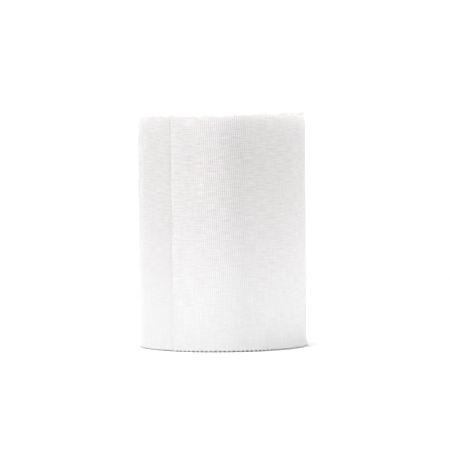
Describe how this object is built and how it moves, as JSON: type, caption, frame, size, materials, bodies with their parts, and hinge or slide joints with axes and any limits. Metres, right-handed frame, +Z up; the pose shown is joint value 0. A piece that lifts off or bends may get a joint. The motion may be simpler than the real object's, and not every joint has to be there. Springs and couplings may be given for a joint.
{
  "type": "surgical tape roll",
  "caption": "Roll of white silk-like woven cloth surgical tape with pinked edges, standing on end, with a round bore through it for a spindle.",
  "frame": {"origin": "on the roll's axis at its base, where it stands", "axes": "+Z up along the roll's axis; -Y towards the side that shows the outer end of the tape, left of its middle; +X to the right"},
  "size_m": [0.0552, 0.0549, 0.0762],
  "materials": {
    "cloth_tape": "white silk-like plain weave with fine upright ribs, softly sheened"
  },
  "bodies": {
    "root": {"roll": "cloth_tape"}
  },
  "joints": []
}
